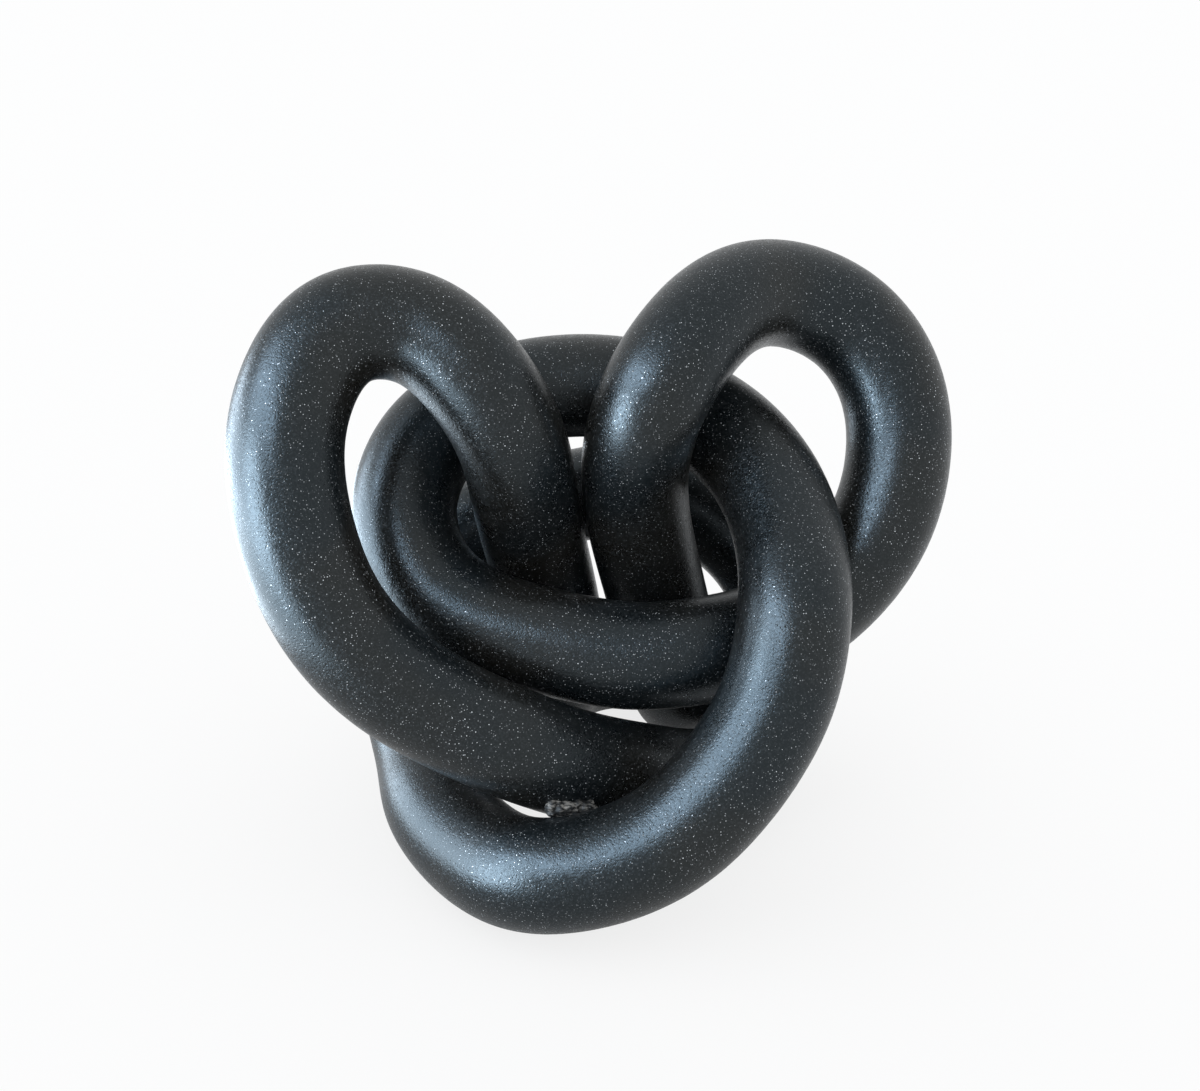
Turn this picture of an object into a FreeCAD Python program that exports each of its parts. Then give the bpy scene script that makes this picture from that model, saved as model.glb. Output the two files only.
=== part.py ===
import FreeCAD, Part
import math
import os

Vector = FreeCAD.Vector

# Solid knot sculpture: one round bar closed on itself, millimetres, +Z up.
# The front lobe faces -Y. The origin is under the middle of the knot, on the table.

# The bar, how close two passes of it may lie, and how far the knot leans back
bar_diameter = 28.0
strand_gap = 0.5
lean_degrees = 22.0

# Butt joints: a blind locating dowel and a V weld dressed flush
dowel_diameter = 8.0
dowel_length = 22.0
dowel_chamfer = 0.8
dowel_side_clearance = 0.05
dowel_end_clearance = 1.0
bead_depth = 2.5
bead_width = 4.6

# The undressed tack weld that ties the left arm to the front lobe, left of where they
# lie closest, and how far its middle stands out of the valley between the two
tack_diameter = 7.0
tack_length = 16.0
tack_standoff = 5.2
tack_shift = 4.0

# Ground flats with felt dots, which the knot stands on
flat_depth = 0.6
flat_reach = 24.0
felt_diameter = 6.0
felt_proud = 0.4
felt_recess_depth = 1.0
felt_side_clearance = 0.1

# How far a cutting tool runs past what it cuts
cut_overrun = 1.0

bar_radius = bar_diameter / 2
strand_pitch = bar_diameter + strand_gap

# Stations along the centreline, in order, as shares of the strand pitch:
# across to the right, up, and out toward the viewer, before the knot is leaned back.
# Two passes of the bar lie at least one share apart, so a thicker bar opens the knot.
station_shares = [
    # inner leg, top and outer side of the left lobe
    (-0.54, -0.35, -0.95),
    (-0.68, 0.37, -0.20),
    (-0.82, 1.02, 0.42),
    (-1.14, 1.52, 0.63),
    (-1.63, 1.88, 0.65),
    (-2.17, 1.85, 0.78),
    (-2.53, 1.36, 0.95),
    (-2.63, 0.76, 1.03),
    (-2.55, 0.13, 1.00),
    (-2.33, -0.49, 0.91),
    # down and across under the front lobe
    (-1.91, -1.04, 0.78),
    (-1.39, -1.42, 0.60),
    (-0.81, -1.71, 0.46),
    (-0.22, -1.96, 0.17),
    (0.42, -2.14, -0.24),
    (1.01, -2.25, -0.75),
    # back arch, which passes behind both inner legs
    (1.50, -2.13, -1.17),
    (1.86, -1.63, -1.61),
    (2.03, -1.14, -1.85),
    (1.90, -0.58, -2.00),
    (1.54, 0.00, -2.00),
    (1.06, 0.38, -2.05),
    (0.53, 0.59, -2.05),
    (-0.24, 0.53, -2.05),
    (-0.85, 0.38, -2.00),
    (-1.41, 0.12, -1.95),
    (-1.89, -0.45, -1.85),
    (-2.04, -1.03, -1.65),
    (-1.89, -1.55, -1.30),
    # front lobe, from its left end to the right
    (-1.67, -2.10, -0.84),
    (-1.51, -2.40, -0.31),
    (-1.12, -2.71, 0.22),
    (-0.60, -2.84, 0.64),
    (-0.04, -2.76, 0.78),
    (0.58, -2.48, 0.84),
    (1.15, -1.91, 0.84),
    # front arm, up to behind the right leg
    (1.53, -1.23, 0.80),
    (1.67, -0.55, 0.70),
    (1.68, 0.05, 0.29),
    (1.50, 0.65, -0.16),
    (1.09, 1.14, -0.53),
    # top and left side of the middle ring
    (0.48, 1.45, -0.70),
    (-0.24, 1.53, -0.68),
    (-0.95, 1.40, -0.60),
    (-1.53, 1.07, -0.53),
    (-1.79, 0.59, -0.38),
    (-1.78, 0.05, -0.22),
    (-1.49, -0.43, -0.13),
    # lower strand of the middle ring
    (-0.99, -0.73, -0.06),
    (-0.36, -0.90, -0.01),
    (0.27, -1.00, 0.00),
    (0.91, -0.96, -0.07),
    (1.59, -0.80, -0.33),
    # outer side, top and inner leg of the right lobe
    (2.21, -0.40, -0.50),
    (2.63, 0.17, -0.51),
    (2.82, 0.86, -0.53),
    (2.75, 1.52, -0.53),
    (2.36, 2.09, -0.49),
    (1.65, 2.34, -0.27),
    (0.83, 1.87, 0.31),
    (0.44, 1.23, 0.44),
    (0.32, 0.60, -0.09),
    (0.42, 0.00, -0.62),
    (0.63, -0.78, -1.09),
    (0.74, -1.25, -1.33),
    # tight bend at the back, under the arch
    (0.84, -1.49, -1.76),
    (0.89, -1.48, -2.37),
    (0.69, -1.40, -2.92),
    (0.20, -1.35, -3.14),
    (-0.29, -1.43, -2.92),
    (-0.50, -1.52, -2.38),
    (-0.50, -1.42, -1.74),
    (-0.45, -0.97, -1.26),
]

# Arms, each with the station where it starts; it ends where the next one starts
arm_starts = [
    ("left_lobe", 0),
    ("left_cross_arm", 9),
    ("back_arch", 17),
    ("front_lobe", 29),
    ("front_arm", 35),
    ("middle_ring_arm", 41),
    ("middle_cross_arm", 48),
    ("right_lobe", 53),
    ("right_lobe_leg", 60),
    ("rear_bend", 65),
]

# Stretches of the centreline that the knot stands on: name, first and last station
stand_stretches = [
    ("felt_dot_front", 30, 34),
    ("felt_dot_right", 14, 18),
    ("felt_dot_back", 66, 71),
]

# Stretches that the tack weld ties together
tack_stretches = [(13, 15), (31, 34)]

# Steps along one arc when the lowest or nearest point is looked for
steps_per_arc = 24


def leaned(share):
    """Place of a station in the row's frame, before the origin is moved."""
    lean = math.radians(lean_degrees)
    across, up, out = [value * strand_pitch for value in share]
    return Vector(
        across,
        up * math.sin(lean) - out * math.cos(lean),
        up * math.cos(lean) + out * math.sin(lean),
    )


def unit(vector):
    return vector * (1 / vector.Length)


def direction_at(stations, index):
    """Direction of the circle through a station and its two neighbours."""
    run_in = stations[index] - stations[index - 1]
    run_out = stations[(index + 1) % len(stations)] - stations[index]
    return unit(unit(run_in) * run_out.Length + unit(run_out) * run_in.Length)


class Arc:
    """A round stretch of the centreline from start, leaving along direction, to end."""

    def __init__(self, start, direction, end):
        chord = end - start
        along = chord.dot(direction)
        sideways = chord - direction * along
        self.start = start
        self.direction = direction
        self.end = end
        self.radius = chord.dot(chord) / (2 * sideways.Length)
        self.inward = unit(sideways)
        self.centre = start + self.inward * self.radius
        self.axis = direction.cross(self.inward)
        self.angle = 2 * math.atan2(sideways.Length, along)

    def point(self, share):
        turn = self.angle * share
        outward = self.inward * (-self.radius * math.cos(turn))
        return self.centre + outward + self.direction * (self.radius * math.sin(turn))

    def heading(self, share):
        turn = self.angle * share
        return self.direction * math.cos(turn) + self.inward * math.sin(turn)

    def bar(self):
        """The solid bar round this stretch."""
        section = Part.Face(Part.Wire(Part.makeCircle(bar_radius, self.start, self.direction)))
        return section.revolve(self.centre, self.axis, math.degrees(self.angle))


def arc_pair(start, start_direction, end, end_direction):
    """Two arcs that leave start and reach end in the given directions and meet smoothly."""
    chord = end - start
    both = start_direction + end_direction
    spread = 2 * (1 - start_direction.dot(end_direction))
    reach = chord.dot(both)
    handle = (math.sqrt(reach * reach + spread * chord.dot(chord)) - reach) / spread
    first_corner = start + start_direction * handle
    last_corner = end - end_direction * handle
    middle = (first_corner + last_corner) * 0.5
    return [
        Arc(start, start_direction, middle),
        Arc(middle, unit(last_corner - first_corner), end),
    ]


def closed_path(stations):
    """The whole centreline: a list with the pair of arcs that follows each station."""
    directions = [direction_at(stations, index) for index in range(len(stations))]
    pairs = []
    for index, station in enumerate(stations):
        following = (index + 1) % len(stations)
        pairs.append(arc_pair(station, directions[index], stations[following], directions[following]))
    return pairs


def samples(path, first, last):
    """Point, heading and last station passed, in steps along the centreline."""
    found = []
    for index in range(first, last):
        for arc in path[index % len(path)]:
            for step in range(steps_per_arc):
                share = step / steps_per_arc
                found.append((arc.point(share), arc.heading(share), index))
    return found


def lowest(path, first, last):
    return min(samples(path, first, last), key=lambda sample: sample[0].z)


def middle_of_reach(path, axis):
    """Middle of the bar's outer reach along a horizontal axis."""
    low = []
    high = []
    for point, heading, station in samples(path, 0, len(path)):
        reach = bar_radius * math.sqrt(max(0, 1 - heading.dot(axis) ** 2))
        low.append(point.dot(axis) - reach)
        high.append(point.dot(axis) + reach)
    return (min(low) + max(high)) / 2


def table_origin(path):
    """Point on the table under the middle of the knot."""
    undersides = [lowest(path, first, last)[0].z - bar_radius for name, first, last in stand_stretches]
    return Vector(
        middle_of_reach(path, Vector(1, 0, 0)),
        middle_of_reach(path, Vector(0, 1, 0)),
        max(undersides) + flat_depth - felt_proud,
    )


def joined(solids):
    return solids[0].fuse(solids[1:]) if len(solids) > 1 else solids[0]


def arm_blank(path, first, last):
    """Bent bar between two stations, before it is bored and prepared."""
    arcs = [arc for index in range(first, last) for arc in path[index % len(path)]]
    return joined([arc.bar() for arc in arcs])


def side_of(direction):
    """Any direction square to the given one."""
    helper = Vector(0, 0, 1) if abs(direction.z) < abs(direction.x) + abs(direction.y) else Vector(1, 0, 0)
    return unit(direction.cross(helper))


def weld_groove(centre, direction):
    """V-shaped ring that is ground away for the weld, running past the bar's surface."""
    side = side_of(direction)
    root = bar_radius - bead_depth
    outside = bar_radius + cut_overrun
    half_width = bead_width / 2 * (outside - root) / bead_depth
    corners = [
        centre + side * root,
        centre + side * outside + direction * half_width,
        centre + side * outside - direction * half_width,
        centre + side * root,
    ]
    section = Part.Face(Part.makePolygon(corners))
    return section.revolve(centre, direction, 360)


def dowel_bore(centre, direction):
    length = dowel_length + 2 * dowel_end_clearance
    radius = dowel_diameter / 2 + dowel_side_clearance
    return Part.makeCylinder(radius, length, centre - direction * (length / 2), direction)


def dowel(centre, direction):
    start = centre - direction * (dowel_length / 2)
    pin = Part.makeCylinder(dowel_diameter / 2, dowel_length, start, direction)
    rims = [edge for edge in pin.Edges if edge.Closed and edge.Curve.TypeId == "Part::GeomCircle"]
    return pin.makeChamfer(dowel_chamfer, rims)


def weld_bead(path, station):
    """Weld metal in the groove, dressed flush with the bar on both sides."""
    arc_before = path[station - 1][1]
    arc_after = path[station][0]
    bar = joined([arc_before.bar(), arc_after.bar()])
    return weld_groove(arc_after.start, arc_after.direction).common(bar).removeSplitter()


def stand_point(path, first, last):
    """Point on the table under the lowest point of a stretch, and its station."""
    point, heading, station = lowest(path, first, last)
    return Vector(point.x, point.y, 0), station


def ground_flat(point):
    """Material ground away under the bar, and the shallow seat of the felt dot."""
    below = Vector(point.x, point.y, felt_proud - bar_radius)
    flat = Part.makeCylinder(flat_reach, bar_radius, below)
    seat_radius = felt_diameter / 2 + felt_side_clearance
    seat = Part.makeCylinder(seat_radius, felt_recess_depth + bar_radius, below)
    return flat.fuse(seat)


def felt_dot(point):
    return Part.makeCylinder(felt_diameter / 2, felt_proud + felt_recess_depth, point)


def tack_weld(path):
    """Lump of weld metal in the valley between the left arm and the front lobe."""
    upper, lower = [samples(path, first, last) for first, last in tack_stretches]
    pairs = [(high, low) for high in upper for low in lower]
    high, low = min(pairs, key=lambda pair: pair[0][0].distanceToPoint(pair[1][0]))
    across = unit(low[0] - high[0])
    along = unit(high[1] + low[1])
    valley = unit(along.cross(across))
    if valley.y > 0:
        valley = valley * -1
    along = unit(across.cross(valley))
    if along.x > 0:
        along = along * -1
    centre = (high[0] + low[0]) * 0.5 + valley * tack_standoff + along * tack_shift
    radius = tack_diameter / 2
    straight = tack_length - tack_diameter
    start = centre - along * (straight / 2)
    end = centre + along * (straight / 2)
    lump = joined([
        Part.makeCylinder(radius, straight, start, along),
        Part.makeSphere(radius, start),
        Part.makeSphere(radius, end),
    ])
    bars = [arm_blank(path, first - 1, last + 1) for first, last in tack_stretches]
    return lump.cut(bars)


def arm(path, first, last, stand_points):
    """Finished arm: bent bar with both ends bored and prepared, and its stand flat."""
    start = path[first % len(path)][0]
    end = path[last % len(path)][0]
    tools = []
    for arc in (start, end):
        tools.append(weld_groove(arc.start, arc.direction))
        tools.append(dowel_bore(arc.start, arc.direction))
    blank = arm_blank(path, first, last)
    for point in stand_points:
        tools.append(ground_flat(point))
    return blank.cut(tools)


def save(shape, name):
    solids = shape.Solids
    assert shape.isValid(), name
    assert len(solids) == 1, name
    solids[0].exportStep("parts/" + name + ".step")
    print(name, "volume", round(shape.Volume, 1), "faces", len(shape.Faces))


def main():
    os.makedirs("parts", exist_ok=True)
    leaned_stations = [leaned(share) for share in station_shares]
    origin = table_origin(closed_path(leaned_stations))
    path = closed_path([station - origin for station in leaned_stations])
    radii = [arc.radius for pair in path for arc in pair]
    length = sum(arc.radius * arc.angle for pair in path for arc in pair)
    print("centreline", round(length, 1), "tightest bend", round(min(radii), 1))

    stands = []
    for name, first, last in stand_stretches:
        point, station = stand_point(path, first, last)
        stands.append((point, station))
        save(felt_dot(point), name)
        print(name, "at", round(point.x, 2), round(point.y, 2), "past station", station)

    for number, (name, first) in enumerate(arm_starts):
        following = arm_starts[(number + 1) % len(arm_starts)][1]
        last = following if following > first else following + len(path)
        own_stands = [point for point, station in stands if first <= station < last]
        save(arm(path, first, last, own_stands), name)
        joint = path[first][0]
        save(dowel(joint.start, joint.direction), "dowel_" + str(number + 1))
        save(weld_bead(path, first), "weld_bead_" + str(number + 1))

    save(tack_weld(path), "tack_weld")


main()
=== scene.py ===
import math

import bpy
import numpy as np
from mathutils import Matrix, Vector


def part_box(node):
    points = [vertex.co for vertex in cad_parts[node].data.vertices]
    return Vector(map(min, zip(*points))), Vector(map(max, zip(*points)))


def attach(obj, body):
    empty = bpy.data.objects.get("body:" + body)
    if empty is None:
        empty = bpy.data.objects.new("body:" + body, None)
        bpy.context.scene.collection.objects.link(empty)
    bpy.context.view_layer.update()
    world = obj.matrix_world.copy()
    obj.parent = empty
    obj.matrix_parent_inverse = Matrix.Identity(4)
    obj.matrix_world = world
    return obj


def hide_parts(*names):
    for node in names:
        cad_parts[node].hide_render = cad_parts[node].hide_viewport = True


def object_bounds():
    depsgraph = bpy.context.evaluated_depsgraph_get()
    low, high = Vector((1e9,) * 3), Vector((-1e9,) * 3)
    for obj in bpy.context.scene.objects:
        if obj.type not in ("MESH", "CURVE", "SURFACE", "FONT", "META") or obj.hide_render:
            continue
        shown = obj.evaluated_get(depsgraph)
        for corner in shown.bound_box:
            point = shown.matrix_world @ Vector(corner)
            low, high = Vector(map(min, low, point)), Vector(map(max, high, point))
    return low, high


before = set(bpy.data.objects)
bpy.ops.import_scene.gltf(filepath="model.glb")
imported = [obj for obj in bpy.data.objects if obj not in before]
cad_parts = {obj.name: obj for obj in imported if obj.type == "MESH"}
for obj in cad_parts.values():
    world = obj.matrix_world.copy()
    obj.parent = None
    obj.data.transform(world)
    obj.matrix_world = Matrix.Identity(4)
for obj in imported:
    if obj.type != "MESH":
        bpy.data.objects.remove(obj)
cadBox = [list(corner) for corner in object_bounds()]
print("frame loaded:", len(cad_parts), "nodes")


# Small helpers for node trees: a Wire is one socket with arithmetic, a Sheet adds the nodes.
class Wire:
    def __init__(self, sheet, socket):
        self.sheet = sheet
        self.socket = socket

    # another output of the same node
    def also(self, name):
        return Wire(self.sheet, self.socket.node.outputs[name])

    # one channel of a colour
    def channel(self, name):
        return self.sheet.node("ShaderNodeSeparateColor", None, {"Color": self}, name)

    def __add__(self, other):
        return self.sheet.maths("ADD", self, other)

    def __radd__(self, other):
        return self.sheet.maths("ADD", other, self)

    def __sub__(self, other):
        return self.sheet.maths("SUBTRACT", self, other)

    def __rsub__(self, other):
        return self.sheet.maths("SUBTRACT", other, self)

    def __mul__(self, other):
        return self.sheet.maths("MULTIPLY", self, other)

    def __rmul__(self, other):
        return self.sheet.maths("MULTIPLY", other, self)

    def __truediv__(self, other):
        return self.sheet.maths("DIVIDE", self, other)

    def __rtruediv__(self, other):
        return self.sheet.maths("DIVIDE", other, self)


class Sheet:
    def __init__(self, tree):
        self.tree = tree

    def socketOf(self, sockets, key):
        if isinstance(key, int):
            return sockets[key]
        return [socket for socket in sockets if socket.name == key and socket.enabled][0]

    # one node: its type, its settings, the values or wires of its sockets, and the output to hand back
    def node(self, kind, settings=None, sockets=None, out=0):
        made = self.tree.nodes.new(kind)
        for name, value in (settings or {}).items():
            setattr(made, name, value)
        for key, value in (sockets or {}).items():
            socket = self.socketOf(made.inputs, key)
            if isinstance(value, Wire):
                self.tree.links.new(value.socket, socket)
            else:
                socket.default_value = value
        return Wire(self, self.socketOf(made.outputs, out)) if len(made.outputs) else made

    def maths(self, operation, first, second):
        return self.node("ShaderNodeMath", {"operation": operation}, {0: first, 1: second})

    def vectors(self, operation, sockets, out="Vector"):
        return self.node("ShaderNodeVectorMath", {"operation": operation}, sockets, out)

    def clampedMap(self, value, low, high, toLow=0.0, toHigh=1.0):
        return self.node("ShaderNodeMapRange", {"interpolation_type": "SMOOTHSTEP"}, {
            "Value": value, "From Min": low, "From Max": high,
            "To Min": toLow, "To Max": toHigh}, "Result")


def newMaterial(name):
    material = bpy.data.materials.new(name)
    material.use_nodes = True
    material.node_tree.nodes.clear()
    return material, Sheet(material.node_tree)


def finishMaterial(sheet, shader):
    sheet.node("ShaderNodeOutputMaterial", None, {"Surface": shader})


# The coat: dark, satin, with a fine sand grain, small pits, bright flecks and slow patches of painted
# warm reflection; sizes in metres
coat = {
    "baseColour": (0.0034, 0.0054, 0.0066, 1),
    "warmReflectionColour": (0.0080, 0.0075, 0.0062, 1),
    "warmReflectionSize": 0.035,              # slow patches of painted warm reflection of the surroundings in the dark of the coat, laid at random
    "warmReflectionRange": (0.4, 0.62),
    "sheenTint": (0.80, 0.93, 1.0, 1),      # colour of the coat's reflections
    "ior": 1.41,
    "roughness": 0.28,
    "swellDulling": 0.1,            # how much the swell changes the roughness
    "grainSize": 0.00055,
    "grainHeight": 0.00007,
    "grainTops": (0.45, 0.7),       # from here to here the grain counts as a top
    "grainDulling": 0.16,           # how much rougher the tops are
    "dust": 0.014,                  # pale dust on the tops
    "pitSize": 0.0009,
    "pitHeight": 0.00005,
    "pitReach": 0.35,               # in shares of the pit size
    "swellSize": 0.006,             # slow unevenness under the grain
    "swellHeight": 0.00003,
    "fleckSize": 0.00062,           # spacing of the bright flecks
    "fleckRadius": 0.24,            # in shares of the spacing
    "fleckLeast": 0.5,              # the smallest fleck as a share of that radius
    "fleckMore": 0.6,               # how much more the largest one has
    "fleckEdge": 0.7,               # where its soft edge begins, in shares of its own radius
    "fleckMissing": 0.2,            # about this share of the places holds a faint fleck or none
    "fleckFaintest": 0.15,
    "fleckShine": 0.9,              # how much of the brightest fleck shows
    "fleckMetal": 0.25,             # how metallic it is
    "fleckColour": (0.80, 0.84, 0.88, 1),
    "patchRange": (0.35, 0.65),     # slow patches of fainter and brighter flecks
    "patchShine": (0.6, 1.4),
}


def coatMaterial(name, look):
    material, sheet = newMaterial(name)
    place = sheet.node("ShaderNodeTexCoord", out="Object")
    grain = sheet.node("ShaderNodeTexNoise", {"noise_dimensions": "3D"}, {
        "Vector": place, "Scale": 1 / look["grainSize"], "Detail": 1.5, "Roughness": 0.55}, "Fac")
    pits = sheet.node("ShaderNodeTexVoronoi", {"feature": "F1"}, {
        "Vector": place, "Scale": 1 / look["pitSize"], "Randomness": 1.0}, "Distance")
    swell = sheet.node("ShaderNodeTexNoise", {"noise_dimensions": "3D"}, {
        "Vector": place, "Scale": 1 / look["swellSize"], "Detail": 2.0, "Roughness": 0.5}, "Fac")
    slow = sheet.node("ShaderNodeTexNoise", {"noise_dimensions": "3D"}, {
        "Vector": place, "Scale": 1 / look["warmReflectionSize"], "Detail": 1.0}, "Fac")
    # flecks: each cell holds one, with its own size and brightness
    cells = sheet.node("ShaderNodeTexVoronoi", {"feature": "F1"}, {
        "Vector": place, "Scale": 1 / look["fleckSize"], "Randomness": 1.0}, "Distance")
    chance = cells.also("Color").channel("Red")
    reach = look["fleckRadius"] * (look["fleckLeast"] + look["fleckMore"] * chance.also("Green"))
    spot = sheet.clampedMap(cells / reach, look["fleckEdge"], 1.0, 1.0, 0.0)
    patches = slow.also("Color").channel("Green")
    shine = chance.also("Blue") * chance.also("Blue")
    shine = shine * sheet.clampedMap(patches, *look["patchRange"], *look["patchShine"])
    faintest = look["fleckFaintest"]
    fleck = spot * sheet.clampedMap(chance, 0.0, look["fleckMissing"]) * look["fleckShine"]
    fleck = fleck * (faintest + (1 - faintest) * shine)
    height = grain * look["grainHeight"]
    height = height + sheet.clampedMap(pits, 0.0, look["pitReach"]) * look["pitHeight"]
    height = height + swell * look["swellHeight"]
    bump = sheet.node("ShaderNodeBump", None, {"Distance": 1.0, "Height": height}, "Normal")
    tops = sheet.clampedMap(grain, *look["grainTops"])
    # painted warm reflection: the dark of the coat turns brownish in slow random patches
    dark = sheet.node("ShaderNodeMix", {"data_type": "RGBA"}, {
        "Factor": sheet.clampedMap(slow, *look["warmReflectionRange"]),
        "A": look["baseColour"], "B": look["warmReflectionColour"]}, "Result")
    colour = sheet.node("ShaderNodeMix", {"data_type": "RGBA"}, {
        "Factor": sheet.maths("MAXIMUM", fleck, tops * look["dust"]),
        "A": dark, "B": look["fleckColour"]}, "Result")
    roughness = look["roughness"] + tops * look["grainDulling"]
    roughness = roughness + look["swellDulling"] * (swell - 0.5)
    shader = sheet.node("ShaderNodeBsdfPrincipled", None, {
        "Base Color": colour,
        "Metallic": fleck * look["fleckMetal"],
        "Roughness": roughness,
        "IOR": look["ior"],
        "Specular Tint": look["sheenTint"],
        "Normal": bump}, "BSDF")
    finishMaterial(sheet, shader)
    return material


coatedBar = coatMaterial("coatedBar", coat)

# The undressed weld under the coat: grey-brown, rough, in streaks along the run
weld = {
    "darkColour": (0.010, 0.010, 0.010, 1),
    "lightColour": (0.36, 0.35, 0.33, 1),
    "streakSize": 0.0009,
    "streakRange": (0.44, 0.72),        # dark below, light above
    "streakHeight": 0.00012,
    "drawnOut": (0.35, 1.0, 1.0),       # streaks run from left to right
    "roughness": 0.6,
    "ior": 1.3,
}


def weldMaterial(name, look):
    material, sheet = newMaterial(name)
    place = sheet.node("ShaderNodeTexCoord", out="Object")
    drawn = sheet.vectors("MULTIPLY", {0: place, 1: look["drawnOut"]})
    streaks = sheet.node("ShaderNodeTexNoise", None, {
        "Vector": drawn, "Scale": 1 / look["streakSize"], "Detail": 4.0, "Roughness": 0.6}, "Fac")
    colour = sheet.node("ShaderNodeMix", {"data_type": "RGBA"}, {
        "Factor": sheet.clampedMap(streaks, *look["streakRange"]),
        "A": look["darkColour"], "B": look["lightColour"]}, "Result")
    bump = sheet.node("ShaderNodeBump", None, {
        "Distance": 1.0, "Height": streaks * look["streakHeight"]}, "Normal")
    shader = sheet.node("ShaderNodeBsdfPrincipled", None, {
        "Base Color": colour, "Roughness": look["roughness"], "IOR": look["ior"], "Normal": bump}, "BSDF")
    finishMaterial(sheet, shader)
    return material


coatedWeld = weldMaterial("coatedWeld", weld)


# Steel of the dowels and felt of the dots: plain colours with a fine grain
steel = {
    "colour": (0.6, 0.6, 0.62, 1),
    "darkShare": 0.7,           # the dark grains have this share of the colour
    "roughness": 0.32,
    "metallic": 1.0,
    "grainSize": 0.0006,
    "grainHeight": 0.00001,
}
felt = {
    "colour": (0.03, 0.03, 0.032, 1),
    "darkShare": 0.7,
    "roughness": 0.95,
    "metallic": 0.0,
    "grainSize": 0.0004,
    "grainHeight": 0.00012,
}


def plainMaterial(name, look):
    material, sheet = newMaterial(name)
    place = sheet.node("ShaderNodeTexCoord", out="Object")
    grain = sheet.node("ShaderNodeTexNoise", None, {
        "Vector": place, "Scale": 1 / look["grainSize"], "Detail": 3.0}, "Fac")
    darker = tuple(channel * look["darkShare"] for channel in look["colour"][:3]) + (1,)
    tint = sheet.node("ShaderNodeMix", {"data_type": "RGBA"}, {
        "Factor": grain, "A": darker, "B": look["colour"]}, "Result")
    bump = sheet.node("ShaderNodeBump", None, {
        "Distance": 1.0, "Height": grain * look["grainHeight"]}, "Normal")
    shader = sheet.node("ShaderNodeBsdfPrincipled", None, {
        "Base Color": tint, "Roughness": look["roughness"], "Metallic": look["metallic"],
        "Normal": bump}, "BSDF")
    finishMaterial(sheet, shader)
    return material


groundSteel = plainMaterial("groundSteel", steel)
blackFelt = plainMaterial("blackFelt", felt)
print("materials made")


# The round bar; sizes in metres
bar = {
    "diameter": 0.028,
    "strandGap": 0.0005,        # the strand pitch is the diameter and this gap
    "lean": 22.0,               # degrees that the knot leans back
    "feltProud": 0.0004,        # the ground flats are this high over the table
    "shrink": 0.00006,          # the skin stays this far inside the solid bar
    "boxMargin": 0.00002,       # and this far inside the frame's box
    "ringSpacing": 0.0006,
    "around": 144,
    "quickSpacing": 0.0012,
    "quickAround": 72,
    "swellSize": 0.014,         # slow unevenness of the bar
    "swellHeight": 0.0001,
    "grainSize": 0.0022,        # and a finer one on top of it
    "grainHeight": 0.00008,
    "stepsPerStation": 40,
}

# stations of the knot before it leans back, in strand pitches: across, up, out toward the viewer
stationPlaces = [
    (-0.54, -0.35, -0.95), (-0.68, 0.37, -0.20), (-0.82, 1.02, 0.42), (-1.14, 1.52, 0.63),
    (-1.63, 1.88, 0.65), (-2.17, 1.85, 0.78), (-2.53, 1.36, 0.95), (-2.63, 0.76, 1.03),
    (-2.55, 0.13, 1.00), (-2.33, -0.49, 0.91), (-1.91, -1.04, 0.78), (-1.39, -1.42, 0.60),
    (-0.81, -1.71, 0.46), (-0.22, -1.96, 0.17), (0.42, -2.14, -0.24), (1.01, -2.25, -0.75),
    (1.50, -2.13, -1.17), (1.86, -1.63, -1.61), (2.03, -1.14, -1.85), (1.90, -0.58, -2.00),
    (1.54, 0.00, -2.00), (1.06, 0.38, -2.05), (0.53, 0.59, -2.05), (-0.24, 0.53, -2.05),
    (-0.85, 0.38, -2.00), (-1.41, 0.12, -1.95), (-1.89, -0.45, -1.85), (-2.04, -1.03, -1.65),
    (-1.89, -1.55, -1.30), (-1.67, -2.10, -0.84), (-1.51, -2.40, -0.31), (-1.12, -2.71, 0.22),
    (-0.60, -2.84, 0.64), (-0.04, -2.76, 0.78), (0.58, -2.48, 0.84), (1.15, -1.91, 0.84),
    (1.53, -1.23, 0.80), (1.67, -0.55, 0.70), (1.68, 0.05, 0.29), (1.50, 0.65, -0.16),
    (1.09, 1.14, -0.53), (0.48, 1.45, -0.70), (-0.24, 1.53, -0.68), (-0.95, 1.40, -0.60),
    (-1.53, 1.07, -0.53), (-1.79, 0.59, -0.38), (-1.78, 0.05, -0.22), (-1.49, -0.43, -0.13),
    (-0.99, -0.73, -0.06), (-0.36, -0.90, -0.01), (0.27, -1.00, 0.00), (0.91, -0.96, -0.07),
    (1.59, -0.80, -0.33), (2.21, -0.40, -0.50), (2.63, 0.17, -0.51), (2.82, 0.86, -0.53),
    (2.75, 1.52, -0.53), (2.36, 2.09, -0.49), (1.65, 2.34, -0.27), (0.83, 1.87, 0.31),
    (0.44, 1.23, 0.44), (0.32, 0.60, -0.09), (0.42, 0.00, -0.62), (0.63, -0.78, -1.09),
    (0.74, -1.25, -1.33), (0.84, -1.49, -1.76), (0.89, -1.48, -2.37), (0.69, -1.40, -2.92),
    (0.20, -1.35, -3.14), (-0.29, -1.43, -2.92), (-0.50, -1.52, -2.38), (-0.50, -1.42, -1.74),
    (-0.45, -0.97, -1.26),
]

# arms: name and first station
armStarts = [("left_lobe", 0), ("left_cross_arm", 9), ("back_arch", 17), ("front_lobe", 29),
             ("front_arm", 35), ("middle_ring_arm", 41), ("middle_cross_arm", 48), ("right_lobe", 53),
             ("right_lobe_leg", 60), ("rear_bend", 65)]


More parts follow.
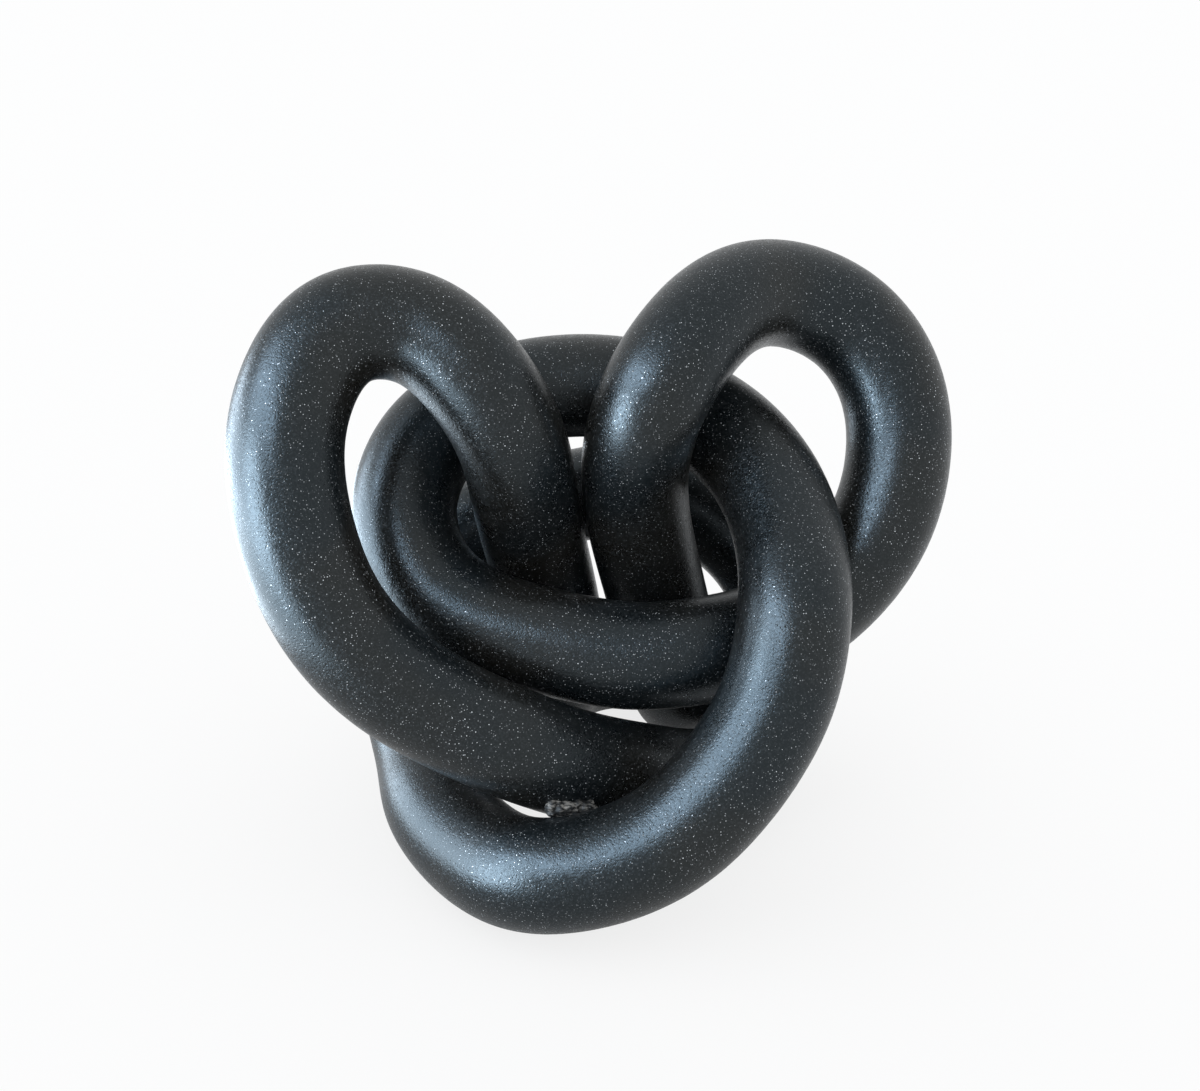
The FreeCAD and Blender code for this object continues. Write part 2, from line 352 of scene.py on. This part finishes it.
def leanedStations():
    lean = math.radians(bar["lean"])
    pitch = bar["diameter"] + bar["strandGap"]
    placed = []
    for across, up, out in stationPlaces:
        placed.append((across * pitch,
                       (up * math.sin(lean) - out * math.cos(lean)) * pitch,
                       (up * math.cos(lean) + out * math.sin(lean)) * pitch))
    return np.array(placed)


# closed smooth curve through the stations: equal bend on both sides of each one
def smoothPath(points, steps):
    count = len(points)
    span = np.linalg.norm(np.roll(points, -1, 0) - points, axis=1)
    system = np.zeros((count, count))
    right = np.zeros((count, 3))
    for i in range(count):
        before, after = span[i - 1], span[i]
        system[i, i - 1] += before
        system[i, i] += 2 * (before + after)
        system[i, (i + 1) % count] += after
        slopeAfter = (points[(i + 1) % count] - points[i]) / after
        slopeBefore = (points[i] - points[i - 1]) / before
        right[i] = 6 * (slopeAfter - slopeBefore)
    bend = np.linalg.solve(system, right)
    path = []
    for i in range(count):
        j = (i + 1) % count
        h = span[i]
        for step in range(steps):
            t = h * step / steps
            path.append(bend[i] * (h - t) ** 3 / (6 * h) + bend[j] * t ** 3 / (6 * h)
                        + (points[i] / h - bend[i] * h / 6) * (h - t)
                        + (points[j] / h - bend[j] * h / 6) * t)
    return np.array(path)


# middle of the box round the bar
def barMiddle(path):
    ahead = np.roll(path, -1, 0) - np.roll(path, 1, 0)
    ahead /= np.linalg.norm(ahead, axis=1)[:, None]
    radius = bar["diameter"] / 2
    reach = radius * np.sqrt(np.clip(1 - ahead ** 2, 0, 1))
    low = (path - reach).min(0)
    high = (path + reach).max(0)
    return (low + high) / 2


stations = leanedStations()
path = smoothPath(stations, bar["stepsPerStation"])
middle = barMiddle(path)
boxMiddle = (Vector(cadBox[0]) + Vector(cadBox[1])) / 2
# the height over the table comes from the frame: the left lobe's top is where it is in the solids
lobeEnd = armStarts[1][1] * bar["stepsPerStation"]
lobeTop = path[:lobeEnd, 2].max() + bar["diameter"] / 2
shift = np.array([boxMiddle.x - middle[0], boxMiddle.y - middle[1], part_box("left_lobe")[1].z - lobeTop])
path = path + shift
lengths = np.linalg.norm(np.roll(path, -1, 0) - path, axis=1)
print("centreline runs", round(float(lengths.sum()) * 1000), "mm",
      "shift", [round(float(v) * 1000, 3) for v in shift])


# The skin of the bar, by Geometry Nodes: a path of edges goes in, a mesh comes out
def pathObject(name, points, closed):
    mesh = bpy.data.meshes.new(name)
    edges = [(i, i + 1) for i in range(len(points) - 1)]
    if closed:
        edges.append((len(points) - 1, 0))
    mesh.from_pydata([tuple(p) for p in points], edges, [])
    made = bpy.data.objects.new(name, mesh)
    bpy.context.scene.collection.objects.link(made)
    return made


def newTree(name, floats, ints):
    tree = bpy.data.node_groups.new(name, "GeometryNodeTree")
    face = tree.interface
    face.new_socket("Path", in_out="INPUT", socket_type="NodeSocketGeometry")
    for label in floats:
        face.new_socket(label, in_out="INPUT", socket_type="NodeSocketFloat")
    for label in ints:
        face.new_socket(label, in_out="INPUT", socket_type="NodeSocketInt")
    face.new_socket("Result", in_out="OUTPUT", socket_type="NodeSocketGeometry")
    sheet = Sheet(tree)
    given = tree.nodes.new("NodeGroupInput")
    return sheet, {socket.name: Wire(sheet, socket) for socket in given.outputs if socket.name}


def closeTree(sheet, geometry, material):
    geometry = sheet.node("GeometryNodeRealizeInstances", None, {"Geometry": geometry}, "Geometry")
    geometry = sheet.node("GeometryNodeSetMaterial", None, {
        "Geometry": geometry, "Material": material}, "Geometry")
    end = sheet.tree.nodes.new("NodeGroupOutput")
    sheet.tree.links.new(geometry.socket, end.inputs["Result"])


# runs a tree on a path object and hands back the plain mesh
def runTree(sheet, target, values):
    modifier = target.modifiers.new("nodes", "NODES")
    modifier.node_group = sheet.tree
    for item in sheet.tree.interface.items_tree:
        if item.in_out == "INPUT" and item.name in values:
            modifier[item.identifier] = values[item.name]
    bpy.context.view_layer.update()
    evaluated = target.evaluated_get(bpy.context.evaluated_depsgraph_get())
    mesh = bpy.data.meshes.new_from_object(evaluated)
    target.modifiers.remove(modifier)
    bpy.data.objects.remove(target)
    return mesh


def skinTree(material):
    sheet, given = newTree("barSkin", ("Bar Radius", "Ring Spacing", "Swell Size", "Swell Height",
                                       "Grain Size", "Grain Height"), ("Around",))
    line = sheet.node("GeometryNodeMeshToCurve", None, {"Mesh": given["Path"]}, "Curve")
    line = sheet.node("GeometryNodeResampleCurve", {"mode": "LENGTH"},
                      {"Curve": line, "Length": given["Ring Spacing"]}, "Curve")
    centre = sheet.node("GeometryNodeInputPosition", out="Position")
    keep = sheet.tree.nodes.new("GeometryNodeCaptureAttribute")
    keep.capture_items.new("VECTOR", "Centre")
    sheet.tree.links.new(line.socket, keep.inputs["Geometry"])
    sheet.tree.links.new(centre.socket, keep.inputs["Centre"])
    ring = sheet.node("GeometryNodeCurvePrimitiveCircle", {"mode": "RADIUS"},
                      {"Resolution": given["Around"], "Radius": given["Bar Radius"]}, "Curve")
    tube = sheet.node("GeometryNodeCurveToMesh", None,
                      {"Curve": Wire(sheet, keep.outputs["Geometry"]), "Profile Curve": ring}, "Mesh")
    place = sheet.node("GeometryNodeInputPosition", out="Position")
    outward = sheet.vectors("SUBTRACT", {0: place, 1: Wire(sheet, keep.outputs["Centre"])})
    outward = sheet.vectors("NORMALIZE", {0: outward})
    swell = sheet.node("ShaderNodeTexNoise", None,
                       {"Vector": place, "Scale": 1 / given["Swell Size"], "Detail": 1.0}, "Fac")
    grain = sheet.node("ShaderNodeTexNoise", None,
                       {"Vector": place, "Scale": 1 / given["Grain Size"], "Detail": 2.0}, "Fac")
    rise = (swell - 0.5) * given["Swell Height"] + (grain - 0.5) * given["Grain Height"]
    offset = sheet.vectors("SCALE", {"Vector": outward, "Scale": rise})
    tube = sheet.node("GeometryNodeSetPosition", None, {"Geometry": tube, "Offset": offset}, "Geometry")
    closeTree(sheet, tube, material)
    return sheet


around = bar["around"]
spacing = bar["ringSpacing"]
skin = runTree(skinTree(coatedBar), pathObject("centreline", path, True), {
    "Bar Radius": bar["diameter"] / 2 - bar["shrink"], "Ring Spacing": spacing, "Around": around,
    "Swell Size": bar["swellSize"], "Swell Height": bar["swellHeight"],
    "Grain Size": bar["grainSize"], "Grain Height": bar["grainHeight"]})
coords = np.zeros(len(skin.vertices) * 3)
skin.vertices.foreach_get("co", coords)
coords = coords.reshape(-1, around, 3)
ringCount = len(coords)
bpy.data.meshes.remove(skin)
print("skin:", ringCount, "rings of", around)

# the ground flats under the knot, and the frame's own box on the other sides
low = np.array(cadBox[0]) + np.array((bar["boxMargin"], bar["boxMargin"], bar["feltProud"]))
high = np.array(cadBox[1]) - bar["boxMargin"]
coords = np.clip(coords, low, high)

# outward direction at each point of the skin, so that neighbouring arms shade as one bar
roundRing = np.roll(coords, -1, 1) - np.roll(coords, 1, 1)
alongBar = np.roll(coords, -1, 0) - np.roll(coords, 1, 0)
outwards = np.cross(roundRing, alongBar)
outwards /= np.linalg.norm(outwards, axis=2)[:, :, None] + 1e-12
if ((coords - coords.mean(1)[:, None]) * outwards).sum() < 0:
    outwards = -outwards


# one arm: the rings between two stations, closed at both ends
def armPiece(name, firstRing, lastRing):
    picked = [ring % ringCount for ring in range(firstRing, lastRing + 1)]
    points = coords[picked].reshape(-1, 3)
    rows = len(picked)
    faces = []
    for row in range(rows - 1):
        here = row * around
        for i in range(around):
            j = (i + 1) % around
            faces.append((here + i, here + j, here + around + j, here + around + i))
    faces.append(tuple(range(around - 1, -1, -1)))
    faces.append(tuple((rows - 1) * around + i for i in range(around)))
    mesh = bpy.data.meshes.new(name)
    mesh.from_pydata(points.tolist(), [], faces)
    centre = points[:around].mean(0)
    if mesh.polygons[0].normal.dot(Vector(points[0] - centre)) < 0:
        mesh.flip_normals()
    mesh.materials.append(coatedBar)
    mesh.shade_smooth()
    corner = np.zeros(len(mesh.loops), int)
    mesh.loops.foreach_get("vertex_index", corner)
    shading = outwards[picked].reshape(-1, 3)[corner]
    for cap in (mesh.polygons[-2], mesh.polygons[-1]):
        shading[list(cap.loop_indices)] = cap.normal
    mesh.normals_split_custom_set(shading.tolist())
    made = bpy.data.objects.new(name, mesh)
    bpy.context.scene.collection.objects.link(made)
    return made


travelled = np.concatenate([[0], np.cumsum(lengths)])


def ringAt(station):
    return round(ringCount * travelled[station * bar["stepsPerStation"]] / travelled[-1])


for number, (name, first) in enumerate(armStarts):
    following = armStarts[(number + 1) % len(armStarts)][1]
    lastRing = ringAt(following) + (0 if following > first else ringCount)
    made = armPiece(name + "_skin", ringAt(first), lastRing)
    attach(made, "root")
    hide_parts(name, "weld_bead_" + str(number + 1))
print("arms made:", len(armStarts))


# The undressed tack weld: one lumpy run of weld metal in the valley
tack = {
    "length": 0.0128,
    "shift": 0.0058,            # along the valley, to the left
    "standOff": 0.0038,         # out of the valley, toward the viewer
    "ballRadius": 0.0019,
    "smallestBall": 0.5,        # as a share of that radius
    "spread": 0.0007,
    "balls": 90,
    "voxel": 0.0003,
    "roughSize": 0.0012,
    "roughHeight": 0.0012,
    "roughLevel": 0.55,         # noise over this level stands out, the rest sinks in
    "drawnOut": (0.4, 1.0, 1.0),        # lumps are longer from left to right
    "seed": 5,
    "upperStretch": (13, 15),   # stations of the strand above the weld
    "lowerStretch": (31, 34),   # and of the strand below it
    "lineSteps": 12,
}


# the weld's line: where the two strands are nearest, out to the front and then to the left
def valleyLine():
    steps = bar["stepsPerStation"]
    upper = np.arange(tack["upperStretch"][0] * steps, tack["upperStretch"][1] * steps)
    lower = np.arange(tack["lowerStretch"][0] * steps, tack["lowerStretch"][1] * steps)
    apart = np.linalg.norm(path[upper][:, None] - path[lower][None], axis=2)
    i, j = np.unravel_index(apart.argmin(), apart.shape)
    high, low = path[upper[i]], path[lower[j]]
    across = (low - high) / np.linalg.norm(low - high)
    along = (path[upper[i] + 1] - path[upper[i] - 1]) + (path[lower[j] + 1] - path[lower[j] - 1])
    valley = np.cross(along, across)
    valley /= np.linalg.norm(valley) * (1 if valley[1] < 0 else -1)
    along = np.cross(across, valley)
    along /= np.linalg.norm(along) * (1 if along[0] < 0 else -1)
    centre = (high + low) / 2 + valley * tack["standOff"] + along * tack["shift"]
    half = along * (tack["length"] / 2 - tack["ballRadius"])
    count = tack["lineSteps"]
    return [centre - half + 2 * half * k / count for k in range(count + 1)]


def lumpTree(material):
    sheet, given = newTree("weldLump", ("Ball Radius", "Spread", "Voxel", "Rough Size", "Rough Height"),
                           ("Balls", "Seed"))
    line = sheet.node("GeometryNodeMeshToCurve", None, {"Mesh": given["Path"]}, "Curve")
    balls = sheet.node("GeometryNodeCurveToPoints", {"mode": "COUNT"},
                       {"Curve": line, "Count": given["Balls"]}, "Points")
    minus = sheet.vectors("SCALE", {"Vector": (-1, -1, -1), "Scale": given["Spread"]})
    plus = sheet.vectors("SCALE", {"Vector": (1, 1, 1), "Scale": given["Spread"]})
    jitter = sheet.node("FunctionNodeRandomValue", {"data_type": "FLOAT_VECTOR"},
                        {"Min": minus, "Max": plus, "Seed": given["Seed"]}, "Value")
    balls = sheet.node("GeometryNodeSetPosition", None, {"Geometry": balls, "Offset": jitter}, "Geometry")
    size = sheet.node("FunctionNodeRandomValue", {"data_type": "FLOAT"}, {
        "Min": given["Ball Radius"] * tack["smallestBall"], "Max": given["Ball Radius"],
        "Seed": given["Seed"]}, "Value")
    cloud = sheet.node("GeometryNodePointsToVolume", {"resolution_mode": "VOXEL_SIZE"},
                       {"Points": balls, "Voxel Size": given["Voxel"], "Radius": size}, "Volume")
    lump = sheet.node("GeometryNodeVolumeToMesh", {"resolution_mode": "VOXEL_SIZE"},
                      {"Volume": cloud, "Voxel Size": given["Voxel"]}, "Mesh")
    place = sheet.node("GeometryNodeInputPosition", out="Position")
    outward = sheet.node("GeometryNodeInputNormal", out="Normal")
    drawn = sheet.vectors("MULTIPLY", {0: place, 1: tack["drawnOut"]})
    rough = sheet.node("ShaderNodeTexNoise", None,
                       {"Vector": drawn, "Scale": 1 / given["Rough Size"], "Detail": 3.0}, "Fac")
    raised = (rough - tack["roughLevel"]) * given["Rough Height"]
    offset = sheet.vectors("SCALE", {"Vector": outward, "Scale": raised})
    lump = sheet.node("GeometryNodeSetPosition", None, {"Geometry": lump, "Offset": offset}, "Geometry")
    lump = sheet.node("GeometryNodeSetShadeSmooth", None, {"Geometry": lump}, "Geometry")
    closeTree(sheet, lump, material)
    return sheet


lumpMesh = runTree(lumpTree(coatedWeld), pathObject("valley", valleyLine(), False), {
    "Ball Radius": tack["ballRadius"], "Spread": tack["spread"], "Voxel": tack["voxel"],
    "Rough Size": tack["roughSize"], "Rough Height": tack["roughHeight"], "Balls": tack["balls"],
    "Seed": tack["seed"]})
lump = bpy.data.objects.new("tack_weld_lump", lumpMesh)
bpy.context.scene.collection.objects.link(lump)
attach(lump, "root")
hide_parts("tack_weld")
print("tack weld made:", len(lumpMesh.polygons), "faces")


# Finishes of the frame's own nodes
for name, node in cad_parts.items():
    finish = groundSteel if name.startswith("dowel") else blackFelt if name.startswith("felt") else None
    if finish:
        node.data.materials.clear()
        node.data.materials.append(finish)


# Studio: a white floor that keeps the shadow, a white world and soft boxes at the left
studio = {
    "floorSize": 60.0,
    "floorColour": (0.95, 0.95, 0.95, 1),
    "floorGlow": 0.8,           # share of plain white that the camera sees in the floor
    "mirroredGlow": 0.3,        # the same share in the coat's reflections
    "worldColour": (0.97, 0.985, 1.0, 1),
    "worldLight": 1.0,
}


def floorMaterial():
    material, sheet = newMaterial("paleFloor")
    rays = sheet.node("ShaderNodeLightPath", out="Is Camera Ray")
    mirrored = sheet.maths("MAXIMUM", rays.also("Is Glossy Ray"), rays.also("Is Transmission Ray"))
    seen = rays * studio["floorGlow"] + mirrored * studio["mirroredGlow"]
    matte = sheet.node("ShaderNodeBsdfDiffuse", None, {"Color": studio["floorColour"]}, "BSDF")
    glow = sheet.node("ShaderNodeEmission", None, {"Color": (1, 1, 1, 1), "Strength": 1.0}, "Emission")
    mixed = sheet.node("ShaderNodeMixShader", None, {"Fac": seen, 1: matte, 2: glow}, "Shader")
    finishMaterial(sheet, mixed)
    return material


half = studio["floorSize"] / 2
floorMesh = bpy.data.meshes.new("floor")
corners = [(-half, -half, 0), (half, -half, 0), (half, half, 0), (-half, half, 0)]
floorMesh.from_pydata(corners, [], [(0, 1, 2, 3)])
floorMesh.materials.append(floorMaterial())
floor = bpy.data.objects.new("floor", floorMesh)
bpy.context.scene.collection.objects.link(floor)

world = bpy.data.worlds.new("studioWorld")
world.use_nodes = True
world.node_tree.nodes.clear()
air = Sheet(world.node_tree)
rays = air.node("ShaderNodeLightPath", out="Is Camera Ray")
mirrored = air.maths("MAXIMUM", rays.also("Is Glossy Ray"), rays.also("Is Transmission Ray"))
seen = air.maths("MAXIMUM", rays, mirrored)
ambient = air.node("ShaderNodeBackground", None, {
    "Color": studio["worldColour"], "Strength": studio["worldLight"]}, "Background")
white = air.node("ShaderNodeBackground", None, {"Color": (1, 1, 1, 1), "Strength": 1.0}, "Background")
mixed = air.node("ShaderNodeMixShader", None, {"Fac": seen, 1: ambient, 2: white}, "Shader")
air.node("ShaderNodeOutputWorld", None, {"Surface": mixed})
bpy.context.scene.world = world

# soft boxes: middle and the point it faces in metres, width, height, radiance as shares of plain white
softBoxes = {
    "window": {
        "middle": (-0.40, 0.04, 0.12), "facing": (0, 0.04, 0.12), "width": 0.38, "height": 0.22,
        "glow": 10.0, "colour": (0.70, 0.85, 1.0)},
    "windowFront": {
        "middle": (-0.40, -0.28, 0.15), "facing": (0, -0.28, 0.15), "width": 0.26, "height": 0.28,
        "glow": 26.0, "colour": (0.70, 0.85, 1.0)},
    "windowOnTable": {
        "middle": (-0.55, -0.04, 0.001), "facing": (-0.55, -0.04, 1.0), "width": 0.76, "height": 0.84,
        "glow": 6.5, "colour": (0.72, 0.87, 1.0)},
    "overhead": {
        "middle": (-0.50, -0.38, 0.60), "facing": (0, -0.02, 0.07), "width": 0.86, "height": 0.24,
        "glow": 17.0, "colour": (0.66, 0.82, 1.0)},
}


# an area lamp that only shows in gloss, so the flat light on the knot stays plain
def softBox(name, look):
    lamp = bpy.data.lights.new(name, "AREA")
    lamp.shape = "RECTANGLE"
    lamp.size = look["width"]
    lamp.size_y = look["height"]
    lamp.energy = look["glow"] * math.pi * look["width"] * look["height"]
    lamp.color = look["colour"]
    made = bpy.data.objects.new(name, lamp)
    made.location = look["middle"]
    made.rotation_euler = (Vector(look["facing"]) - made.location).to_track_quat("-Z", "Y").to_euler()
    made.visible_diffuse = False
    made.visible_camera = False
    bpy.context.scene.collection.objects.link(made)


for name, look in softBoxes.items():
    softBox(name, look)

print("studio made")


# Camera at the photograph's angle
view = {
    "lens": 42.0,
    "sensor": 36.0,
    "away": 0.362727,           # from the middle of the photograph's frame
    "up": 22.0,                 # degrees over the table
    "nearest": 0.01,
    "farthest": 200,
}
aim = Vector(shift)
rise = math.radians(view["up"])
camera = bpy.data.objects.new("camera", bpy.data.cameras.new("camera"))
camera.data.lens = view["lens"]
camera.data.sensor_width = view["sensor"]
camera.data.clip_start = view["nearest"]
camera.data.clip_end = view["farthest"]
camera.location = aim + Vector((0, -math.cos(rise), math.sin(rise))) * view["away"]
camera.rotation_euler = (aim - camera.location).to_track_quat("-Z", "Y").to_euler()
bpy.context.scene.collection.objects.link(camera)
bpy.context.scene.camera = camera
bpy.context.scene.view_settings.view_transform = "Standard"
